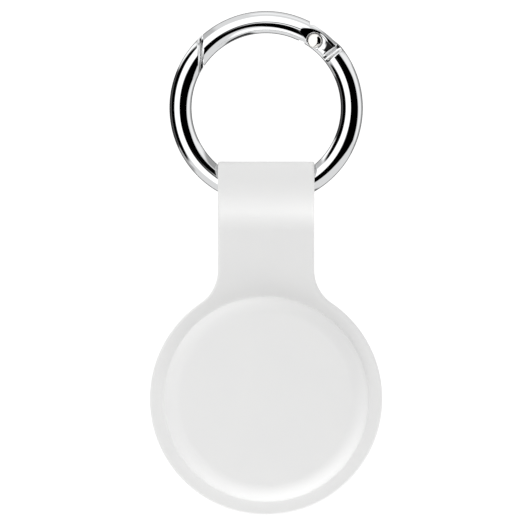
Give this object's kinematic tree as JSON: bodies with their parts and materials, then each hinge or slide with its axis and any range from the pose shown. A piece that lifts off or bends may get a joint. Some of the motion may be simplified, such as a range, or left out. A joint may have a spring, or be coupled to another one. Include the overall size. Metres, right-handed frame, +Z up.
{
  "type": "tracker tag holder",
  "caption": "Moulded silicone pocket for a round tracker tag, with a folded strap that hangs it from a spring-gate ring; tag goes in through the round opening at the back.",
  "frame": {"origin": "centre of the spring-gate ring", "axes": "+Z up towards the ring's top, with the pocket hanging below; the pocket's closed front faces -Y and its opening +Y; +X is to the right seen from the front, on the hinge's side"},
  "size_m": [0.04, 0.01, 0.0867],
  "materials": {
    "ring_chrome": "polished chrome plate on die-cast zinc",
    "rivet_steel": "bright plated steel",
    "plunger_steel": "turned steel",
    "spring_steel": "drawn spring wire",
    "front_silicone": "matt white moulded silicone",
    "back_silicone": "matt white moulded silicone"
  },
  "bodies": {
    "ring": {"ring_body": "ring_chrome"},
    "gate": {"gate": "ring_chrome", "hinge_rivet": "rivet_steel", "gate_spring": "spring_steel", "spring_plunger": "plunger_steel"},
    "holder": {"front_cover": "front_silicone", "back_cover": "back_silicone"}
  },
  "joints": [
    {"name": "gate_hinge", "type": "hinge", "parent": "ring", "child": "gate", "pos_m": [0.00833, 0, 0.0115], "axis": [0, -1, 0], "range_deg": [0, 35], "stiffness_Nm_per_rad": 0.03, "springref_deg": -57.3},
    {"name": "holder_swing", "type": "hinge", "parent": "ring", "child": "holder", "pos_m": [0, 0, -0.01347], "axis": [1, 0, 0], "range_deg": [-150, 150]}
  ]
}
